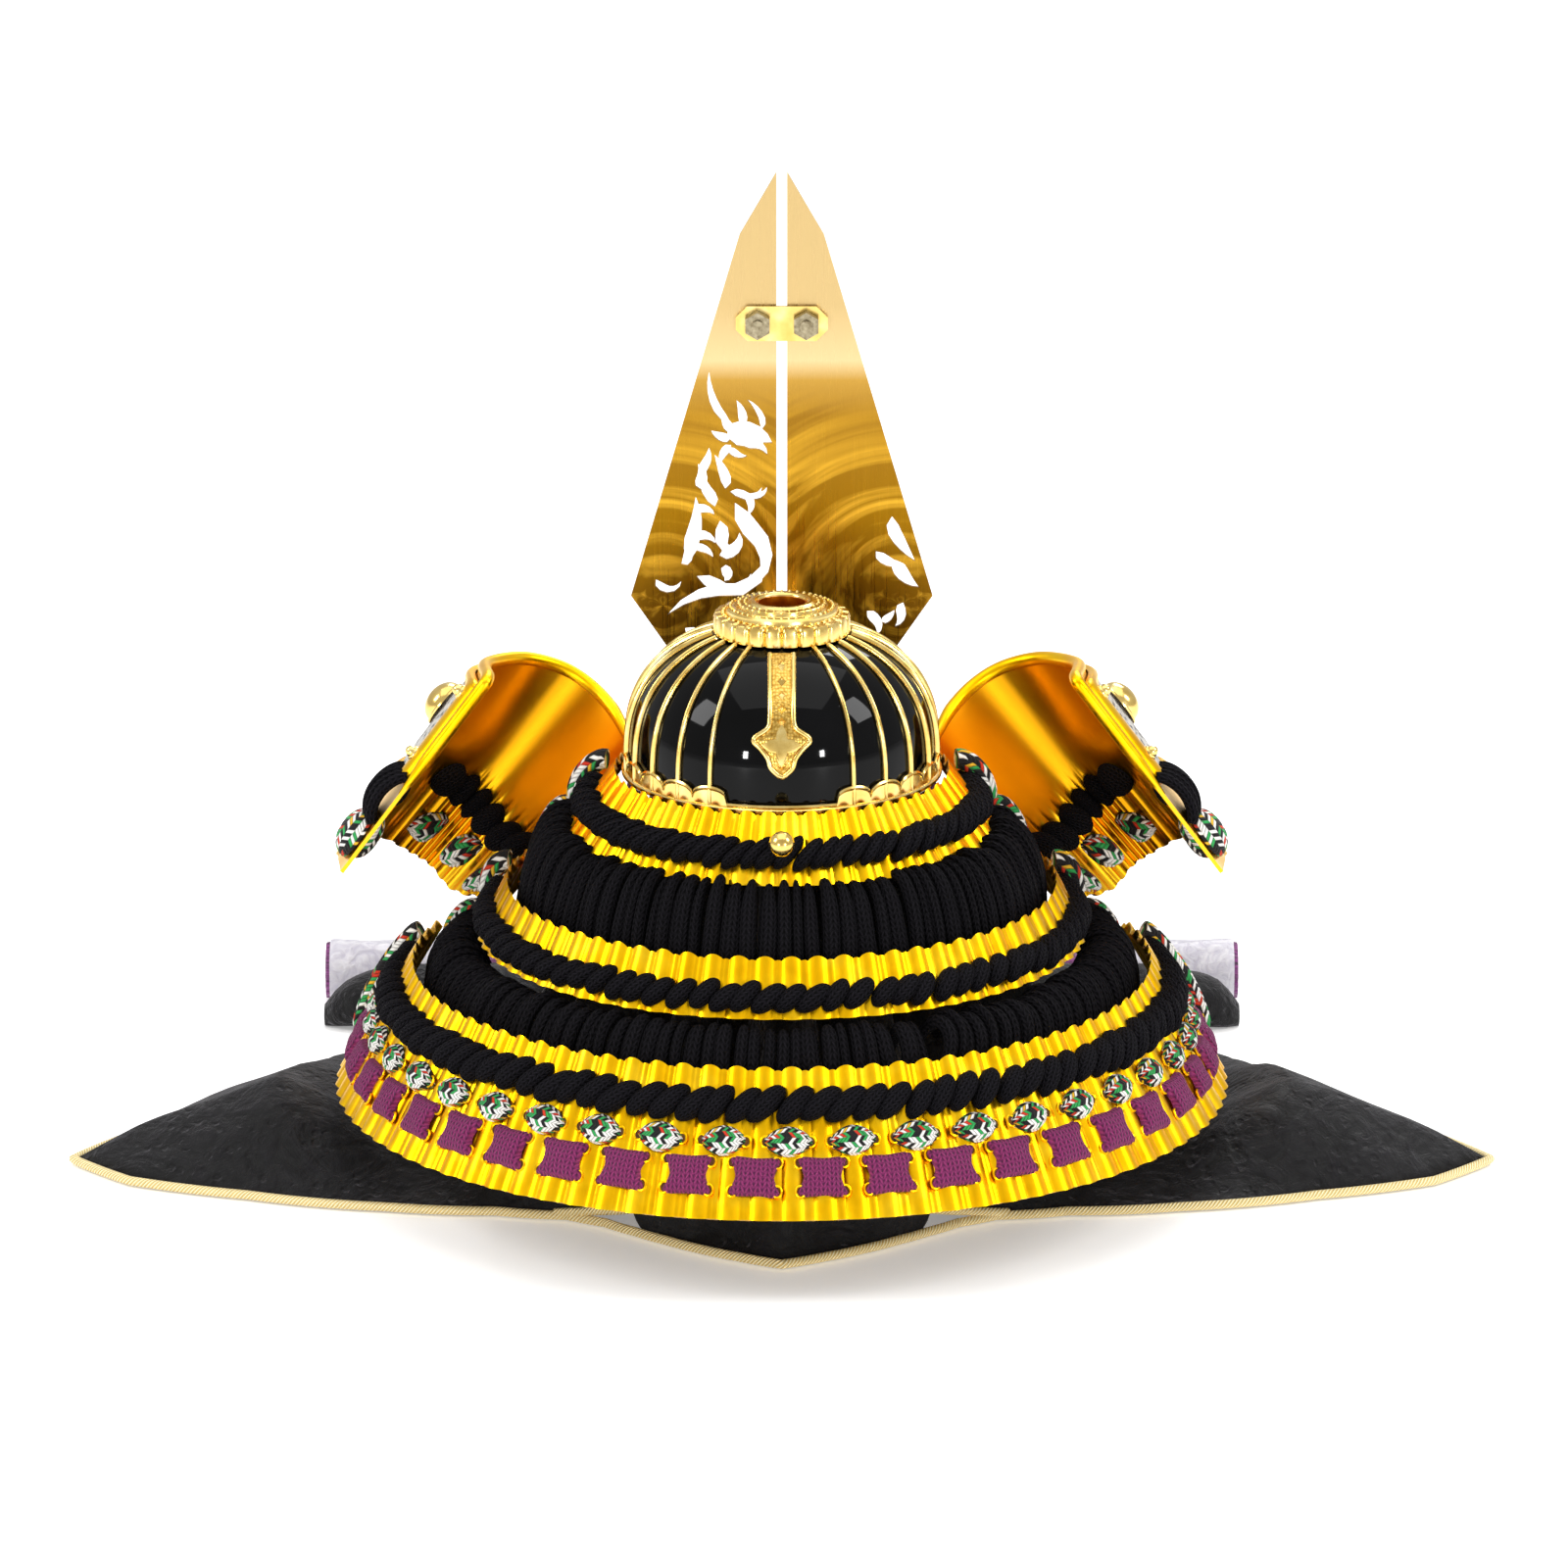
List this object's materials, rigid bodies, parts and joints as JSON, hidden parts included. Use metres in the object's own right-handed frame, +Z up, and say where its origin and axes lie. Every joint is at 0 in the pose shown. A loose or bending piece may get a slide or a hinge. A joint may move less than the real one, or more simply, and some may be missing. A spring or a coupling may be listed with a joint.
{
  "type": "kabuto helmet on a cloth-covered stand",
  "caption": "Ribbed black bowl with gold fittings, split pierced crest, curled turn-backs and laced scale neck guard, resting on a post stand under a piped black cloth.",
  "frame": {"origin": "centre of the stand's foot on the surface it rests on, below the bowl's axis", "axes": "+X to the wearer's right, +Y to the wearer's front, where the crest is, +Z up"},
  "size_m": [0.3268, 0.2411, 0.2217],
  "materials": {
    "black_lacquer": "glossy black lacquer over metal",
    "pale_gold": "polished pale gold plate",
    "bronze_gold": "brushed and polished gold plate",
    "steel": "plain machined hexagon nuts and bolts",
    "yellow_gold": "bright yellow gold plate, pressed scales",
    "black_cord": "matte knitted braid",
    "mixed_cord": "braid of white, black, red, green and yellow threads",
    "purple_cord": "matte purple braid",
    "printed_leather": "grey and white patterned leather",
    "black_plush": "short plush with a faint embossed pattern",
    "gold_piping": "pale gold twisted cord",
    "wood": "plain turned wood"
  },
  "bodies": {
    "root": {"bowl": "black_lacquer", "visor": "black_lacquer", "rib_cage": "pale_gold", "tehen_finial": "pale_gold", "spear_strip_rear": "pale_gold", "spear_strip_front": "pale_gold", "crest_bracket": "pale_gold", "crest_socket": "pale_gold", "rope_knob": "pale_gold", "turnback_boss_right": "pale_gold", "turnback_boss_left": "pale_gold", "turnback_rivet_upper_right": "pale_gold", "turnback_rivet_upper_left": "pale_gold", "turnback_rivet_lower_right": "pale_gold", "turnback_rivet_lower_left": "pale_gold", "crest_blade_left": "bronze_gold", "crest_blade_right": "bronze_gold", "crest_nut_left": "steel", "crest_nut_right": "steel", "neck_lame_1": "yellow_gold", "neck_lame_2": "yellow_gold", "neck_lame_3": "yellow_gold", "turnback_right": "yellow_gold", "turnback_left": "yellow_gold", "turnback_frame_right": "yellow_gold", "turnback_frame_left": "yellow_gold", "rope_1": "black_cord", "rope_2": "black_cord", "rope_3": "black_cord", "lacing_1": "black_cord", "lacing_2": "black_cord", "turnback_cords_right": "black_cord", "turnback_cords_left": "black_cord", "stitches_mixed": "mixed_cord", "stitches_purple": "purple_cord", "chin_riser_right": "purple_cord", "chin_riser_left": "purple_cord", "chin_tail_right": "purple_cord", "chin_tail_left": "purple_cord", "chin_knot": "purple_cord", "tassel_right": "purple_cord", "tassel_left": "purple_cord", "turnback_leather_right": "printed_leather", "turnback_leather_left": "printed_leather", "display_cloth": "black_plush", "cloth_piping": "gold_piping", "stand_foot": "wood", "stand_post": "wood"}
  },
  "joints": []
}
